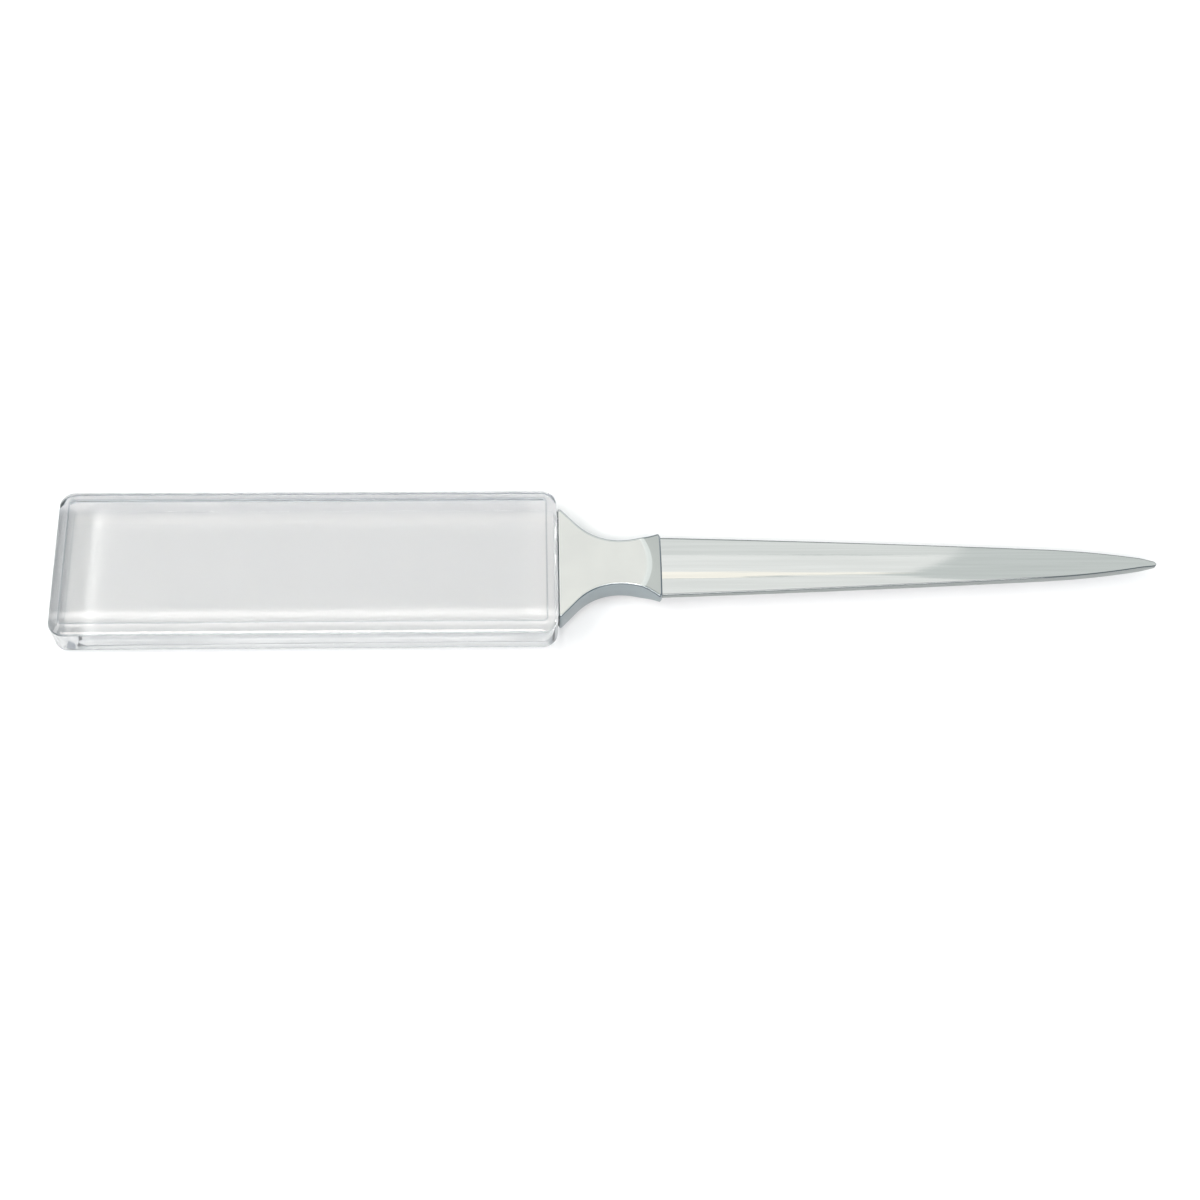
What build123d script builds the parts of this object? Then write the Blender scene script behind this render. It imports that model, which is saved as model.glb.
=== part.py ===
from build123d import *
import math
import os

# Letter opener: a bevelled crystal handle, a flat waisted metal neck and a long domed blade.
# Millimetres. X runs from the handle's end to the blade's tip, and the handle lies flat on Z = 0.

# Crystal handle
handle_length = 99.0
handle_width = 31.5
handle_thickness = 9.0
corner_radius = 3.0  # of the upright corners
bevel_width = 2.2  # polished bevel round the top and bottom faces, measured across the face
bevel_depth = 1.1  # the same bevel, measured down the side

# Adhesive film between the crystal and the neck's foot
film_thickness = 0.2
film_inset = 0.4  # the film stops this far inside the foot's outline

# Neck
neck_length = 20.6
neck_thickness = 5.5
foot_width = 24.1
foot_lip = 0.5  # short straight side of the foot before it flares in
flare_angle = 47.0  # degrees between the flare and the opener's length
waist_width = 9.9
waist_place = 12.2  # from the foot's face to the narrowest place
neck_edge_radius = 0.6
collar_slope = 18.0  # degrees that the collar's top and bottom fall towards the blade
collar_dome_radius = 35.0  # of the collar's domed slopes, across the neck
collar_step = 0.25  # how far the collar's end stands proud of the blade, all round
collar_chamfer_length = 0.5
collar_chamfer_depth = 0.45

# Blade
blade_length = 100.2
blade_root_width = 13.0
blade_root_thickness = 3.2
blade_tip_thickness = 2.0
blade_dome_radius = 22.0  # of the domed top and bottom, across the blade
point_length = 23.0  # from where the point begins to the nose
point_width = 6.5  # blade width where the point begins
side_bow = 0.18  # how far each long side bows out from a straight taper
nose_radius = 0.6
nose_angle = 10.5  # degrees between the point's side and the centre line, at the nose
nose_thickness = 0.9
nose_bevel = 10.0  # degrees that the top and bottom fall over the last stretch before the nose

# Tang and its socket in the neck
tang_length = 12.0
tang_width = 5.0
tang_thickness = 2.0
tang_gap = 0.15  # filled with adhesive on all four sides
tang_end_gap = 0.5  # filled with adhesive behind the tang's end

# Places along the length
overall_length = handle_length + film_thickness + neck_length + blade_length
handle_start = -overall_length / 2
handle_end = handle_start + handle_length
foot_x = handle_end + film_thickness
collar_x = foot_x + neck_length
axis_height = handle_thickness / 2
middle_plane = Plane.XY.offset(axis_height)


def make_handle():
    outline = RectangleRounded(handle_length, handle_width, corner_radius)
    slab = extrude(Pos(handle_start + handle_length / 2, 0) * outline, handle_thickness)
    for place in (0, -1):
        face = slab.faces().sort_by(Axis.Z)[place]
        slab = chamfer(face.edges(), bevel_width, bevel_depth, reference=face)
    return slab


def make_handle_bond():
    film = Box(film_thickness, foot_width - 2 * film_inset, neck_thickness - 2 * film_inset)
    return Pos(handle_end + film_thickness / 2, 0, axis_height) * film


def dome_bar(radius, x, crown, slope):
    """A round bar whose top line stands crown above the axis at x and falls by slope degrees along X."""
    fall = math.radians(slope)
    along = Vector(math.cos(fall), 0, -math.sin(fall))
    up = Vector(math.sin(fall), 0, math.cos(fall))
    top = Vector(x, 0, axis_height + crown)
    return Plane(top - up * radius, z_dir=along) * Cylinder(radius, 2 * overall_length)


def between_domes(body, radius, x, thickness, slope):
    """Keep what lies between a domed top and its mirror image below, thickness apart at x."""
    upper = dome_bar(radius, x, thickness / 2, slope)
    return body & upper & mirror(upper, about=middle_plane)


def outline_face(half, crossings):
    """A face inside the outline's upper half, its mirror image and the edges that cross the middle."""
    lower = [mirror(edge, about=Plane.XZ) for edge in half]
    return make_face(half + lower + crossings)


def neck_outline():
    foot = foot_width / 2
    waist = waist_width / 2
    end = blade_root_width / 2 + collar_step
    lip = end + collar_chamfer_depth
    flare = math.radians(flare_angle)
    # The flare and the waist's own direction meet at a corner, which the waist's arc rounds.
    corner_x = foot_lip + (foot - waist) / math.tan(flare)
    round_off = waist_place - corner_x
    arc_start = (corner_x - round_off * math.cos(flare), waist + round_off * math.sin(flare))
    narrowest = (waist_place, waist)
    lip_point = (neck_length - collar_chamfer_length, lip)
    half = [
        Line((0, foot), (foot_lip, foot)),
        Line((foot_lip, foot), arc_start),
        TangentArc(narrowest, arc_start, tangent=(-1, 0)),
        TangentArc(narrowest, lip_point, tangent=(1, 0)),
        Line(lip_point, (neck_length, end)),
    ]
    ends = [Line((0, -foot), (0, foot)), Line((neck_length, -end), (neck_length, end))]
    return outline_face(half, ends)


def make_neck():
    plan = Pos(foot_x, 0) * neck_outline()
    body = extrude(middle_plane * plan, neck_thickness / 2, both=True)
    faces = body.faces().sort_by(Axis.Z)
    rims = faces[0].edges() + faces[-1].edges()
    sides = rims.filter_by_position(Axis.X, foot_x + foot_lip, collar_x - collar_chamfer_length)
    body = fillet(sides, neck_edge_radius)
    end_thickness = blade_root_thickness + 2 * collar_step
    body = between_domes(body, collar_dome_radius, collar_x, end_thickness, collar_slope)
    return body - tang_space(tang_gap, tang_end_gap)


def tang_space(gap, end_gap):
    """The tang grown by gap on its sides and end_gap at its end; open at the collar's face."""
    length = tang_length + end_gap
    space = Box(length, tang_width + 2 * gap, tang_thickness + 2 * gap)
    return Pos(collar_x - length / 2, 0, axis_height) * space


def make_tang_bond():
    return tang_space(tang_gap, tang_end_gap) - tang_space(0, 0)


def blade_outline():
    root = blade_root_width / 2
    lean = math.radians(nose_angle)
    nose_centre = blade_length - nose_radius
    nose_start = (nose_centre + nose_radius * math.sin(lean), nose_radius * math.cos(lean))
    point_start = (blade_length - point_length, point_width / 2)
    sides = [
        SagittaArc((0, root), point_start, side_bow),
        TangentArc(nose_start, point_start, tangent=(-math.cos(lean), math.sin(lean))),
    ]
    nose = ThreePointArc(nose_start, (blade_length, 0), (nose_start[0], -nose_start[1]))
    return outline_face(sides, [nose, Line((0, -root), (0, root))])


def make_blade():
    plan = Pos(collar_x, 0) * blade_outline()
    body = extrude(middle_plane * plan, blade_root_thickness, both=True)
    taper = math.degrees(math.atan((blade_root_thickness - blade_tip_thickness) / 2 / blade_length))
    body = between_domes(body, blade_dome_radius, collar_x, blade_root_thickness, taper)
    body = between_domes(body, blade_dome_radius, collar_x + blade_length, nose_thickness, nose_bevel)
    return body + tang_space(0, 0)


os.makedirs("parts", exist_ok=True)
export_step(make_handle(), "parts/crystal_handle.step")
export_step(make_handle_bond(), "parts/handle_bond.step")
export_step(make_neck(), "parts/neck.step")
export_step(make_tang_bond(), "parts/tang_bond.step")
export_step(make_blade(), "parts/blade.step")
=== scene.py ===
import math

import bmesh
import bpy
from mathutils import Matrix, Vector


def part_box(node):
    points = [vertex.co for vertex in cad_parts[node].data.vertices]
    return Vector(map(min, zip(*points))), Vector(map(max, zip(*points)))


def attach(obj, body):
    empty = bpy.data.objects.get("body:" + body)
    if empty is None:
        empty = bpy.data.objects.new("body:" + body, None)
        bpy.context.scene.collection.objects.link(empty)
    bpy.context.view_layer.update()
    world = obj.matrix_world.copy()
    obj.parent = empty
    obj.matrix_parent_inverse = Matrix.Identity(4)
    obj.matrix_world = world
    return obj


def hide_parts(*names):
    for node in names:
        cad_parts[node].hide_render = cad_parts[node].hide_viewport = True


# Letter opener: a bevelled crystal handle, a flat waisted metal neck and a long domed steel blade.
# Metres, in the part's own frame: X runs from the handle's end to the blade's tip, and Z is up.

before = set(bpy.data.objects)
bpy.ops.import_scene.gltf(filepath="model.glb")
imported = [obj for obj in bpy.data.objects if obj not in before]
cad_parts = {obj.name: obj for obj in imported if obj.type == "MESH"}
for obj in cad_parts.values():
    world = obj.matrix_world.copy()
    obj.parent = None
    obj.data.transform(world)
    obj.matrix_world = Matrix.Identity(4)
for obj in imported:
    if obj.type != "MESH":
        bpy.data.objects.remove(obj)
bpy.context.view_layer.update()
handle_low, handle_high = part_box("crystal_handle")
neck_low, neck_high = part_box("neck")
blade_low, blade_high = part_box("blade")
bond_low, bond_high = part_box("tang_bond")

mm = 0.001

# Crystal
corner_radius = 3 * mm
bevel_width = 2.2 * mm
bevel_depth = 1.1 * mm
crystal_edge_round = 0.3 * mm

# Neck, measured from the foot's face
foot_x = neck_low.x
collar_x = neck_high.x
neck_length = collar_x - foot_x
neck_half_thickness = (neck_high.z - neck_low.z) / 2
axis_height = (neck_high.z + neck_low.z) / 2
foot_half_width = neck_high.y
foot_lip = 0.5 * mm
flare_angle = math.radians(47)
waist_half_width = 4.95 * mm
waist_place = 12.2 * mm
neck_edge_round = 0.45 * mm
foot_rim_round = 0.25 * mm
collar_slope = math.radians(18)
collar_dome_radius = 35 * mm
collar_step = 0.25 * mm
collar_chamfer_length = 0.5 * mm
collar_chamfer_depth = 0.45 * mm
collar_rim_round = 0.35 * mm
collar_crease_round = 0.35 * mm

# Blade, measured from the collar's end
blade_length = blade_high.x - collar_x
blade_root_half_width = blade_high.y
blade_root_crown = blade_high.z - axis_height
blade_tip_crown = 1.0 * mm
blade_dome_radius = 22 * mm
point_length = 23 * mm
point_half_width = 3.25 * mm
side_bow = 0.18 * mm
nose_radius = 0.6 * mm
nose_angle = math.radians(10.5)
nose_crown = 0.45 * mm
nose_bevel = math.radians(10)
nose_crease_round = 0.1 * mm
blade_edge_round = 0.22 * mm
blade_taper = math.atan((blade_root_crown - blade_tip_crown) / blade_length)

# Tang, and the socket that the adhesive fills round it
tang_length = collar_x - blade_low.x
tang_half_width = 2.5 * mm
tang_half_thickness = 1.0 * mm
socket_length = collar_x - bond_low.x
socket_half_width = bond_high.y
socket_half_thickness = (bond_high.z - bond_low.z) / 2

# Mesh steps
quarter_turn = math.pi / 2
flat_steps = 16
round_steps = 5
corner_steps = 12
edge_steps = 4
neck_steps = 70
collar_steps = 60
collar_reach = 6 * mm  # the last stretch of the neck, which has finer steps
blade_steps = 200
bevel_steps = 30
bevel_reach = 4 * mm  # the last stretch of the blade, which has finer steps
nose_steps = 10
nose_stop = math.radians(89)  # the last step round the nose, just short of its tip
weld_distance = 0.0001 * mm  # points nearer than this, as at the blade's nose, become one
crease_angle = math.radians(40)  # the shading breaks at edges sharper than this

# Places where the materials change. A level is one on a flat face and nought on a wall.
flat_level = 0.93
wall_level = 0.75
bevel_level = bevel_width / math.hypot(bevel_width, bevel_depth)
edge_start = 0.55  # the mask along a lofted piece's edges begins here
edge_full = 0.95
noise_detail = 4.0
noise_low = 0.3  # most of the noise lies between these two
noise_high = 0.7
tone_low = 0.35  # a colour changes from one tone to the other between these two
tone_high = 0.65

# Colours
black = (0.0, 0.0, 0.0)
white = (1.0, 1.0, 1.0)
warm_white = (1.0, 0.93, 0.92)
amber_white = (1.0, 0.85, 0.68)
key_white = (1.0, 0.965, 0.945)
front_white = (1.0, 0.945, 0.91)

# Stage
floor_half_width = 3.0
floor_height = -0.06 * mm  # just under the handle, so that their faces stay apart
ceiling_height = 0.75
panel_turn = -9.8  # degrees
strip_turn = 27.0  # degrees


# Shapes

def rounding(distance, radius):
    """How far a rounded edge lies below its face, at a distance in from the edge."""
    short = min(max(radius - distance, 0.0), radius)
    return radius - math.sqrt(radius ** 2 - short ** 2)


def soft_min(first, second, blend):
    """The lower of two heights, with the crease between them rounded."""
    overlap = max(blend - abs(first - second), 0.0) / blend
    return min(first, second) - overlap ** 2 * blend / 4


def dome_height(radius, x, y, place, crown, slope):
    """Height over the axis of a domed face that has its crown at a place and falls along X."""
    sag = radius - math.sqrt(radius ** 2 - y ** 2)
    return crown - (x - place) * math.tan(slope) - sag / math.cos(slope)


def evenly(start, end, count):
    return [start + (end - start) * i / count for i in range(count + 1)]


def neck_half_width(x):
    reach = x - foot_x
    lip_place = neck_length - collar_chamfer_length
    lip_half_width = blade_root_half_width + collar_step + collar_chamfer_depth
    corner = foot_lip + (foot_half_width - waist_half_width) / math.tan(flare_angle)
    round_off = waist_place - corner
    flare_end = corner - round_off * math.cos(flare_angle)
    if reach <= foot_lip:
        return foot_half_width
    if reach <= flare_end:
        return foot_half_width - (reach - foot_lip) * math.tan(flare_angle)
    if reach <= waist_place:
        radius = round_off / math.tan(flare_angle / 2)
    elif reach <= lip_place:
        rise = lip_half_width - waist_half_width
        radius = ((lip_place - waist_place) ** 2 + rise ** 2) / (2 * rise)
    else:
        return lip_half_width - collar_chamfer_depth * (reach - lip_place) / collar_chamfer_length
    return waist_half_width + radius - math.sqrt(radius ** 2 - (reach - waist_place) ** 2)


def neck_rim_drop(x):
    return rounding(x - foot_x, foot_rim_round) + rounding(collar_x - x, collar_rim_round)


def neck_top(x, y):
    end_crown = blade_root_crown + collar_step
    collar = dome_height(collar_dome_radius, x, y, collar_x, end_crown, collar_slope)
    return soft_min(neck_half_thickness, collar, collar_crease_round) - neck_rim_drop(x)


def blade_half_width(x):
    reach = x - collar_x
    point_start = blade_length - point_length
    nose_centre = blade_length - nose_radius
    nose_start = nose_centre + nose_radius * math.sin(nose_angle)
    if reach >= nose_start:
        return math.sqrt(max(nose_radius ** 2 - (reach - nose_centre) ** 2, 0.0))
    if reach <= point_start:
        share = reach / point_start
        straight = blade_root_half_width + (point_half_width - blade_root_half_width) * share
        return straight + 4 * side_bow * share * (1 - share)
    # The point's side is an arc that meets the nose smoothly.
    nose_y = nose_radius * math.cos(nose_angle)
    along = point_start - nose_start
    across = point_half_width - nose_y
    inward = Vector((-math.sin(nose_angle), -math.cos(nose_angle)))
    radius = (along ** 2 + across ** 2) / (2 * (inward.x * along + inward.y * across))
    centre_reach = nose_start + inward.x * radius
    centre_y = nose_y + inward.y * radius
    return centre_y + math.sqrt(radius ** 2 - (reach - centre_reach) ** 2)


def blade_top(x, y):
    long_face = dome_height(blade_dome_radius, x, y, collar_x, blade_root_crown, blade_taper)
    nose_face = dome_height(blade_dome_radius, x, y, blade_high.x, nose_crown, nose_bevel)
    return soft_min(long_face, nose_face, nose_crease_round)


def section(half_width, top, edge_round):
    """Points round a section that is the same above and below the axis and on both sides of it."""
    edge_round = min(edge_round, half_width)
    flat = half_width - edge_round
    across = [flat * i / flat_steps for i in range(flat_steps)]
    for i in range(round_steps + 1):
        across.append(flat + edge_round * math.sin(quarter_turn * i / round_steps))
    quarter = [(y, top(y) - rounding(half_width - y, edge_round)) for y in across]
    quarter.append((half_width, 0.0))
    ring = list(quarter)
    ring += [(y, -z) for y, z in reversed(quarter[:-1])]
    ring += [(-y, -z) for y, z in quarter[1:]]
    ring += [(-y, z) for y, z in reversed(quarter[1:-1])]
    return ring


def loft(stations, half_width, top, edge_round):
    """A smooth skin through the sections at the stations. Returns the mesh and its end rings."""
    mesh = bmesh.new()
    edge_layer = mesh.verts.layers.float.new("edge")
    rings = []
    for x in stations:
        half = half_width(x)
        ring = []
        for y, z in section(half, lambda y: top(x, y), edge_round):
            vertex = mesh.verts.new((x, y, axis_height + z))
            vertex[edge_layer] = 1.0 if abs(y) >= half - edge_round else 0.0
            ring.append(vertex)
        rings.append(ring)
    for ring, following in zip(rings, rings[1:]):
        for i in range(len(ring)):
            face = mesh.faces.new((ring[i - 1], ring[i], following[i], following[i - 1]))
            face.smooth = True
    return mesh, rings[0], rings[-1]


def ring_edges(mesh, ring):
    edges = [mesh.edges.get((ring[i - 1], ring[i])) for i in range(len(ring))]
    return [edge or mesh.edges.new((ring[i - 1], ring[i])) for i, edge in enumerate(edges)]


def add_block_end(mesh, ring, length, half_width, half_height):
    """Close an end round a rectangular tang or socket that reaches back along X from it."""
    x = ring[0].co.x
    corners = [(1, 1), (1, -1), (-1, -1), (-1, 1)]
    mouths = []
    for place in (x, x - length):
        mouths.append([
            mesh.verts.new((place, side * half_width, axis_height + up * half_height))
            for side, up in corners
        ])
    near, far = mouths
    rims = ring_edges(mesh, ring) + ring_edges(mesh, near)
    bmesh.ops.triangle_fill(mesh, edges=rims, use_beauty=True)
    for i in range(len(corners)):
        mesh.faces.new((near[i - 1], near[i], far[i], far[i - 1]))
    mesh.faces.new(far)


def mark_creases(mesh):
    for edge in mesh.edges:
        if len(edge.link_faces) == 2 and edge.calc_face_angle() > crease_angle:
            edge.smooth = False


def finish_piece(name, mesh, material, node):
    """Turn the mesh into a piece that stands for a CAD node and takes its finish from a slot."""
    bmesh.ops.remove_doubles(mesh, verts=mesh.verts, dist=weld_distance)
    bmesh.ops.recalc_face_normals(mesh, faces=mesh.faces)
    mark_creases(mesh)
    data = bpy.data.meshes.new(name)
    mesh.to_mesh(data)
    mesh.free()
    data.materials.append(material)
    piece = bpy.data.objects.new(name, data)
    bpy.context.scene.collection.objects.link(piece)
    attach(piece, "root")
    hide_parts(node)
    return piece


def crystal_profile():
    """Distances in from the handle's side, with heights, from bottom to top over eased edges."""
    thickness = handle_high.z - handle_low.z
    path = [
        Vector((corner_radius, 0.0)),
        Vector((bevel_width, 0.0)),
        Vector((0.0, bevel_depth)),
        Vector((0.0, thickness - bevel_depth)),
        Vector((bevel_width, thickness)),
        Vector((corner_radius, thickness)),
    ]
    points = []
    for before, corner, after in zip(path, path[1:], path[2:]):
        start = corner + (before - corner).normalized() * crystal_edge_round
        end = corner + (after - corner).normalized() * crystal_edge_round
        for share in evenly(0, 1, edge_steps):
            points.append(start * (1 - share) ** 2 + corner * 2 * share * (1 - share) + end * share ** 2)
    return points


def handle_ring(inset, height):
    """Points round the handle's outline, a distance in from its side."""
    centre_x = (handle_low.x + handle_high.x) / 2
    along = (handle_high.x - handle_low.x) / 2 - corner_radius
    across = handle_high.y - corner_radius
    radius = corner_radius - inset
    points = []
    for quarter, (side_x, side_y) in enumerate([(1, 1), (-1, 1), (-1, -1), (1, -1)]):
        for turn in evenly(0, quarter_turn, corner_steps):
            angle = turn + quarter * quarter_turn
            x = centre_x + side_x * along + radius * math.cos(angle)
            y = side_y * across + radius * math.sin(angle)
            points.append((x, y, handle_low.z + height))
    return points


def make_crystal(material):
    mesh = bmesh.new()
    rings = [
        [mesh.verts.new(point) for point in handle_ring(inset, height)]
        for inset, height in crystal_profile()
    ]
    for ring, following in zip(rings, rings[1:]):
        for i in range(len(ring)):
            mesh.faces.new((ring[i - 1], ring[i], following[i], following[i - 1]))
    mesh.faces.new(rings[0])
    mesh.faces.new(rings[-1])
    for face in mesh.faces:
        face.smooth = True
    piece = finish_piece("crystal_body", mesh, material, "crystal_handle")
    piece.modifiers.new("flat_faces", "WEIGHTED_NORMAL").keep_sharp = True


def make_neck(material):
    turns = evenly(0, quarter_turn, round_steps)
    rim = [foot_x + foot_rim_round * (1 - math.cos(turn)) for turn in turns]
    body = evenly(foot_x + foot_rim_round, collar_x - collar_reach, neck_steps)[1:]
    collar = evenly(collar_x - collar_reach, collar_x - collar_rim_round, collar_steps)[1:]
    end = [collar_x - collar_rim_round * (1 - math.cos(turn)) for turn in reversed(turns)][1:]
    mesh, foot, collar_end = loft(
        rim + body + collar + end,
        lambda x: neck_half_width(x) - neck_rim_drop(x),
        neck_top,
        neck_edge_round,
    )
    mesh.faces.new(foot)
    add_block_end(mesh, collar_end, socket_length, socket_half_width, socket_half_thickness)
    finish_piece("neck_body", mesh, material, "neck")


def make_blade(material):
    nose_centre = blade_high.x - nose_radius
    nose_turns = evenly(nose_angle, nose_stop, nose_steps)
    nose = [nose_centre + nose_radius * math.sin(turn) for turn in nose_turns]
    bevel_start = blade_high.x - bevel_reach
    body = evenly(collar_x, bevel_start, blade_steps)[:-1]
    bevel = evenly(bevel_start, nose[0], bevel_steps)[:-1]
    mesh, root, tip = loft(body + bevel + nose, blade_half_width, blade_top, blade_edge_round)
    mesh.faces.new(tip)
    add_block_end(mesh, root, tang_length, tang_half_width, tang_half_thickness)
    finish_piece("blade_body", mesh, material, "blade")


# Materials

def set_stops(ramp, stops):
    """Give a colour ramp its colours, each at its place."""
    elements = ramp.color_ramp.elements
    while len(elements) < len(stops):
        elements.new(0.5)  # each gets its own place below
    for element, (place, colour) in zip(elements, stops):
        element.position = place
        element.color = (*colour, 1.0)


class Nodes:
    """A material and its node tree, with its Principled shader."""

    def __init__(self, name):
        self.material = bpy.data.materials.new(name)
        self.material.use_nodes = True
        self.tree = self.material.node_tree
        self.shader = self.tree.nodes["Principled BSDF"]

    def add(self, kind, **settings):
        node = self.tree.nodes.new(kind)
        for key, value in settings.items():
            setattr(node, key, value)
        return node

    def link(self, source, target):
        self.tree.links.new(source, target)

    def noise(self, scale, stretch=(1, 1, 1)):
        """Noise in the part's own frame, stretched by a factor along each axis."""
        place = self.add("ShaderNodeTexCoord")
        mapping = self.add("ShaderNodeMapping")
        mapping.inputs["Scale"].default_value = stretch
        texture = self.add("ShaderNodeTexNoise")
        texture.inputs["Scale"].default_value = scale
        texture.inputs["Detail"].default_value = noise_detail
        self.link(place.outputs["Object"], mapping.inputs["Vector"])
        self.link(mapping.outputs["Vector"], texture.inputs["Vector"])
        return texture.outputs["Fac"]

    def ramp(self, value, stops):
        """Map a value through colours at places."""
        node = self.add("ShaderNodeValToRGB")
        set_stops(node, stops)
        self.link(value, node.inputs["Fac"])
        return node.outputs["Color"]

    def tones(self, value, darker, lighter):
        """Vary a colour between two tones as the noise varies."""
        return self.ramp(value, [(tone_low, darker), (tone_high, lighter)])

    def spread(self, value, low, high):
        """Map a value from the middle of the noise's range to a range of numbers."""
        node = self.add("ShaderNodeMapRange")
        node.inputs["From Min"].default_value = noise_low
        node.inputs["From Max"].default_value = noise_high
        node.inputs["To Min"].default_value = low
        node.inputs["To Max"].default_value = high
        self.link(value, node.inputs["Value"])
        return node.outputs["Result"]

    def mask(self, value, start, full):
        """Nought where the value is at the start, one where it is full, and clamped beyond them."""
        node = self.add("ShaderNodeMapRange")
        node.inputs["From Min"].default_value = start
        node.inputs["From Max"].default_value = full
        self.link(value, node.inputs["Value"])
        return node.outputs["Result"]

    def level(self):
        """One on faces that look straight up or down, nought on walls that stand up."""
        place = self.add("ShaderNodeTexCoord")
        parts = self.add("ShaderNodeSeparateXYZ")
        size = self.add("ShaderNodeMath", operation="ABSOLUTE")
        self.link(place.outputs["Normal"], parts.inputs["Vector"])
        self.link(parts.outputs["Z"], size.inputs[0])
        return size.outputs["Value"]

    def upright(self):
        """One on walls that stand up from the middle plane, nought on faces that look up or down."""
        return self.mask(self.level(), flat_level, wall_level)

    def along_edge(self):
        """One on the rounded edges of a lofted piece, falling off just inside them."""
        edge = self.add("ShaderNodeAttribute", attribute_name="edge")
        return self.mask(edge.outputs["Fac"], edge_start, edge_full)

    def below(self, height, lower, upper):
        """One colour under a height and another over it."""
        place = self.add("ShaderNodeTexCoord")
        parts = self.add("ShaderNodeSeparateXYZ")
        over = self.add("ShaderNodeMath", operation="GREATER_THAN")
        over.inputs[1].default_value = height
        node = self.add("ShaderNodeMix", data_type="RGBA")
        self.link(place.outputs["Object"], parts.inputs["Vector"])
        self.link(parts.outputs["Z"], over.inputs[0])
        self.link(over.outputs["Value"], node.inputs["Factor"])
        self.link(lower, node.inputs["A"])
        self.link(upper, node.inputs["B"])
        return node.outputs["Result"]

    def blend(self, factor, below, above):
        """Change from one colour to another as the factor goes from nought to one."""
        node = self.add("ShaderNodeMix", data_type="RGBA")
        self.link(factor, node.inputs["Factor"])
        self.link(below, node.inputs["A"])
        node.inputs["B"].default_value = (*above, 1.0)
        return node.outputs["Result"]

    def bump(self, height, distance):
        node = self.add("ShaderNodeBump")
        node.inputs["Strength"].default_value = 1.0
        node.inputs["Distance"].default_value = distance
        self.link(height, node.inputs["Height"])
        self.link(node.outputs["Normal"], self.shader.inputs["Normal"])


def crystal_stops(clear, wall_edge_shade, face_edge_shade):
    """Colours by level from a wall up to a flat face, with a painted-shade edge on each side of the
    bevel.
    """
    return [
        (0.02, clear),
        (0.10, wall_edge_shade),
        (bevel_level - 0.06, wall_edge_shade),
        (bevel_level - 0.01, clear),
        (bevel_level + 0.01, clear),
        (bevel_level + 0.03, face_edge_shade),
        (0.98, face_edge_shade),
        (0.998, clear),
    ]


def crystal_material():
    # The flat faces, the bevels and the walls are clear, and the edges between them are darkened with
    # painted shade.
    clear = (0.77, 0.77, 0.77)
    upper_wall_edge_shade = (0.66, 0.69, 0.71)
    upper_face_edge_shade = (0.40, 0.43, 0.46)
    lower_wall_edge_shade = (0.50, 0.54, 0.57)
    lower_face_edge_shade = (0.67, 0.68, 0.685)
    nodes = Nodes("clear_crystal")
    level = nodes.level()
    # The edges above and below the axis carry different painted shade.
    upper = nodes.ramp(level, crystal_stops(clear, upper_wall_edge_shade, upper_face_edge_shade))
    lower = nodes.ramp(level, crystal_stops(clear, lower_wall_edge_shade, lower_face_edge_shade))
    nodes.link(nodes.below(axis_height, lower, upper), nodes.shader.inputs["Base Color"])
    nodes.shader.inputs["Transmission Weight"].default_value = 1.0
    nodes.shader.inputs["IOR"].default_value = 1.52
    smudges = nodes.noise(scale=160)
    nodes.link(nodes.spread(smudges, low=0.0, high=0.012), nodes.shader.inputs["Roughness"])
    body = nodes.add("ShaderNodeVolumeAbsorption")
    body.inputs["Color"].default_value = (0.30, 0.36, 0.38, 1.0)
    body.inputs["Density"].default_value = 4.5
    output = nodes.tree.nodes["Material Output"]
    nodes.link(body.outputs["Volume"], output.inputs["Volume"])
    return nodes.material


def adhesive_material():
    nodes = Nodes("clear_adhesive")
    nodes.shader.inputs["Base Color"].default_value = (0.93, 0.95, 0.94, 1.0)
    nodes.shader.inputs["Transmission Weight"].default_value = 1.0
    nodes.shader.inputs["IOR"].default_value = 1.49
    haze = nodes.noise(scale=900)
    nodes.link(nodes.spread(haze, low=0.05, high=0.2), nodes.shader.inputs["Roughness"])
    return nodes.material


def satin_material():
    darker = (0.69, 0.69, 0.67)
    lighter = (0.73, 0.73, 0.705)
    edge_shade_tone = (0.38, 0.415, 0.415)
    wall_shade_tone = (0.30, 0.34, 0.355)
    highlight_tone = (0.97, 0.97, 0.95)
    nodes = Nodes("satin_plate")
    nodes.shader.inputs["Metallic"].default_value = 1.0
    colour = nodes.tones(nodes.noise(scale=120), darker, lighter)
    # Painted shade: a dark line along the rounded edges.
    colour = nodes.blend(nodes.along_edge(), colour, edge_shade_tone)
    # Painted shade: the side walls are darkened.
    colour = nodes.blend(nodes.upright(), colour, wall_shade_tone)
    # Painted highlight: edges that are rounded over from the top are made brighter.
    highlight_stops = [(0.955, black), (0.965, white), (0.988, white), (0.997, black)]
    colour = nodes.blend(nodes.ramp(nodes.level(), highlight_stops), colour, highlight_tone)
    nodes.link(colour, nodes.shader.inputs["Base Color"])
    grain = nodes.noise(scale=5000, stretch=(0.12, 1, 1))
    nodes.link(nodes.spread(grain, low=0.16, high=0.24), nodes.shader.inputs["Roughness"])
    nodes.bump(grain, distance=0.002 * mm)
    return nodes.material


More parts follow.
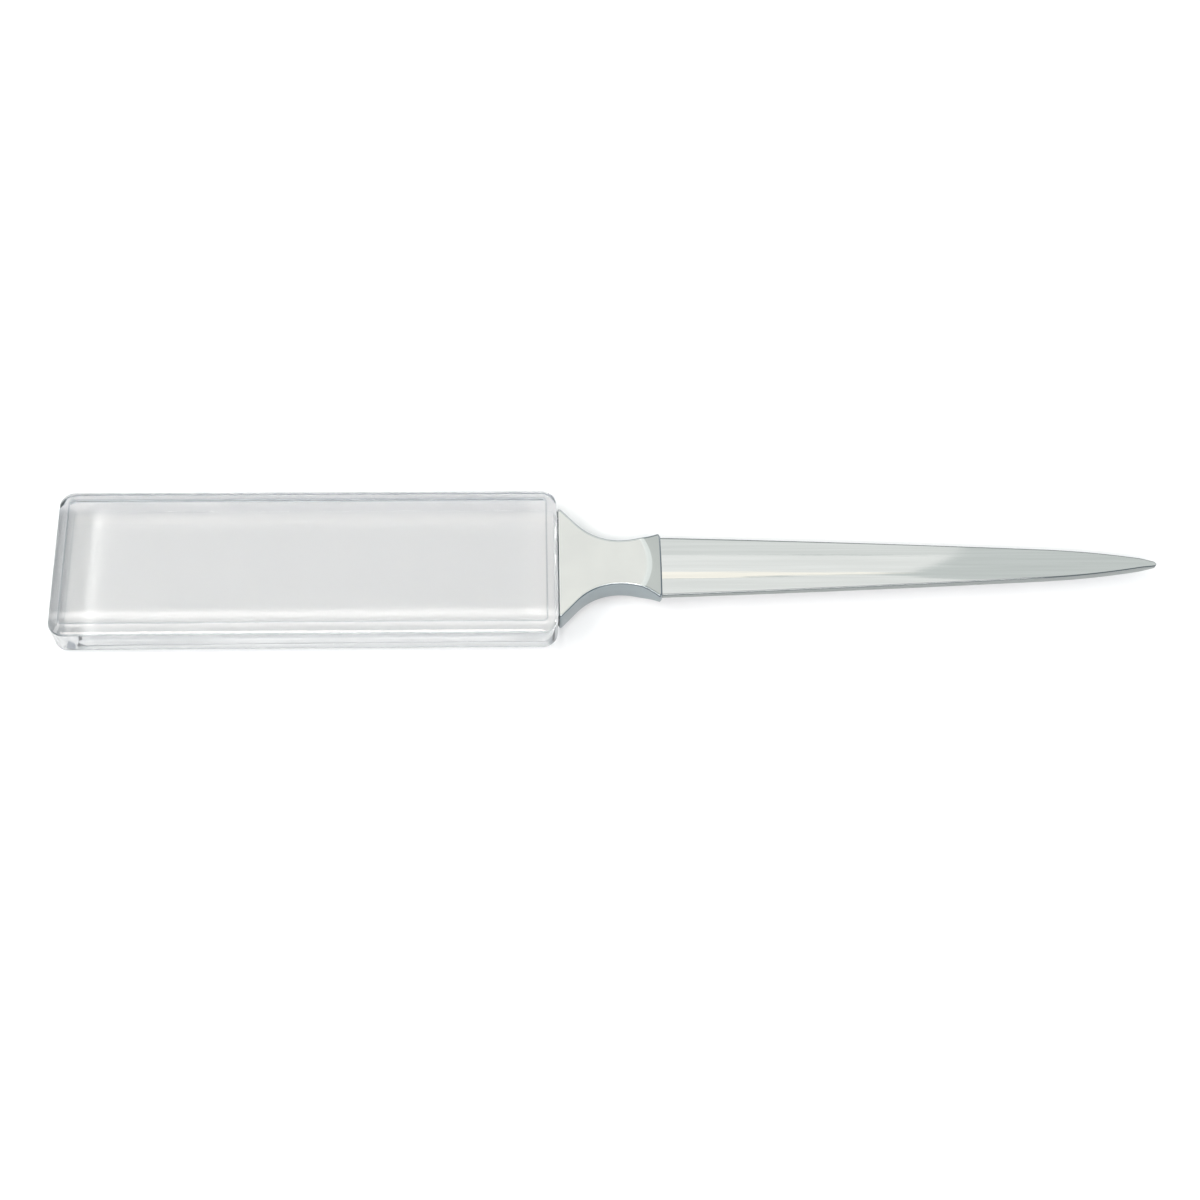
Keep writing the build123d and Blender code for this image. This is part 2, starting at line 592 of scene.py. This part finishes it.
def steel_material():
    darker = (0.675, 0.68, 0.67)
    lighter = (0.725, 0.73, 0.72)
    edge_shade_tone = (0.25, 0.27, 0.275)
    wall_shade_tone = (0.30, 0.32, 0.315)
    nodes = Nodes("polished_steel")
    nodes.shader.inputs["Metallic"].default_value = 1.0
    draw_marks = nodes.noise(scale=1600, stretch=(0.02, 1, 1))
    colour = nodes.tones(draw_marks, darker, lighter)
    # Painted shade: a dark line along the rounded edges.
    colour = nodes.blend(nodes.along_edge(), colour, edge_shade_tone)
    # Painted shade: the side walls are darkened.
    colour = nodes.blend(nodes.upright(), colour, wall_shade_tone)
    nodes.link(colour, nodes.shader.inputs["Base Color"])
    nodes.link(nodes.spread(draw_marks, low=0.03, high=0.07), nodes.shader.inputs["Roughness"])
    nodes.bump(draw_marks, distance=0.009 * mm)
    return nodes.material


def floor_material():
    nodes = Nodes("floor")
    nodes.shader.inputs["Base Color"].default_value = (0.96, 0.96, 0.96, 1.0)
    nodes.shader.inputs["Roughness"].default_value = 1.0
    nodes.shader.inputs["Specular IOR Level"].default_value = 0.0
    return nodes.material


# Scene

def make_floor():
    mesh = bmesh.new()
    corners = [(-1, -1), (1, -1), (1, 1), (-1, 1)]
    mesh.faces.new([
        mesh.verts.new((x * floor_half_width, y * floor_half_width, floor_height))
        for x, y in corners
    ])
    data = bpy.data.meshes.new("floor")
    mesh.to_mesh(data)
    mesh.free()
    data.materials.append(floor_material())
    floor = bpy.data.objects.new("floor", data)
    bpy.context.scene.collection.objects.link(floor)


def make_camera():
    eye = Vector((-19.32, -188.12, 375.61)) * mm
    aim = Vector((-2.592, -6.871, 4.0)) * mm
    roll = math.radians(4.38)
    data = bpy.data.cameras.new("camera")
    data.sensor_width = 36
    data.lens = 62.455
    data.clip_start = 0.01
    camera = bpy.data.objects.new("camera", data)
    turn = (aim - eye).to_track_quat("-Z", "Y").to_matrix() @ Matrix.Rotation(roll, 3, "Z")
    camera.matrix_world = Matrix.Translation(eye) @ turn.to_4x4()
    bpy.context.scene.collection.objects.link(camera)
    bpy.context.scene.camera = camera


def make_softbox(name, place, aim, size, radiance, colour, turn=0.0):
    """A rectangular light of even radiance, facing the aim and turned by degrees about its own axis."""
    data = bpy.data.lights.new(name, "AREA")
    data.shape = "RECTANGLE"
    data.size, data.size_y = size
    data.energy = radiance * math.pi * size[0] * size[1]
    data.color = colour
    light = bpy.data.objects.new(name, data)
    facing = (Vector(aim) - Vector(place)).to_track_quat("-Z", "Y").to_matrix()
    facing = facing @ Matrix.Rotation(math.radians(turn), 3, "Z")
    light.matrix_world = Matrix.Translation(Vector(place)) @ facing.to_4x4()
    light.visible_camera = False
    bpy.context.scene.collection.objects.link(light)


def make_ceiling_panel(name, corner, turn, size, radiance, colour):
    """A softbox that hangs flat, given the place of its front right corner."""
    spin = Matrix.Rotation(math.radians(turn), 2)
    middle = Vector(corner) + spin @ Vector((-size[0] / 2, size[1] / 2))
    place = (middle.x, middle.y, ceiling_height)
    make_softbox(name, place, (middle.x, middle.y, 0), size, radiance, colour, turn)


def make_world(axis, stops):
    """Soft light from all round, with colours that change along an axis."""
    world = bpy.data.worlds.new("studio")
    world.use_nodes = True
    tree = world.node_tree
    place = tree.nodes.new("ShaderNodeTexCoord")
    along = tree.nodes.new("ShaderNodeVectorMath")
    along.operation = "DOT_PRODUCT"
    along.inputs[1].default_value = axis
    ramp = tree.nodes.new("ShaderNodeValToRGB")
    set_stops(ramp, stops)
    tree.links.new(place.outputs["Generated"], along.inputs[0])
    tree.links.new(along.outputs["Value"], ramp.inputs["Fac"])
    tree.links.new(ramp.outputs["Color"], tree.nodes["Background"].inputs["Color"])
    bpy.context.scene.world = world


make_crystal(crystal_material())
make_neck(satin_material())
make_blade(steel_material())
adhesive = adhesive_material()
for name in ("handle_bond", "tang_bond"):
    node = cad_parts[name]
    node.data.materials.clear()
    node.data.materials.append(adhesive)

make_floor()
make_camera()
sky_axis = (0.0, 0.35, 0.75)
sky_stops = [
    (0.0, (0.31, 0.35, 0.42)),
    (0.30, (0.34, 0.385, 0.45)),
    (0.50, (0.495, 0.54, 0.58)),
    (0.62, (0.74, 0.79, 0.78)),
]
make_world(sky_axis, sky_stops)
# Name, front right corner, turn, size, radiance, colour
ceiling_panels = [
    ("middle_panel", (0.217, 0.215), panel_turn, (0.8, 0.345), 0.32, warm_white),
    ("back_panel", (0.278, 0.570), panel_turn, (0.8, 0.7), 0.19, warm_white),
    ("strip", (0.217, 0.207), strip_turn, (0.5, 0.20), 0.58, amber_white),
    ("front_panel", (0.332, -0.085), strip_turn, (0.6, 0.3), 0.285, warm_white),
]
for panel in ceiling_panels:
    make_ceiling_panel(*panel)
# Name, place, aim, size, radiance, colour
keys = [
    ("front_key", (-0.05, -0.575, 0.85), (-0.05, 0, 0), (0.9, 0.18), 9.2, front_white),
    ("left_key", (-0.72, 0.0, 0.79), (-0.1, 0, 0), (0.8, 0.30), 5.2, key_white),
    ("top_key", (-0.12, -0.26, 0.9), (-0.12, 0, 0), (0.2, 0.3), 3.3, key_white),
]
for key in keys:
    make_softbox(*key)

view = bpy.context.scene.view_settings
view.view_transform = "Standard"
cycles = bpy.context.scene.cycles
cycles.blur_glossy = 0.0
cycles.sample_clamp_indirect = 0.0
cycles.max_bounces = 32
cycles.transmission_bounces = 32
cycles.glossy_bounces = 16
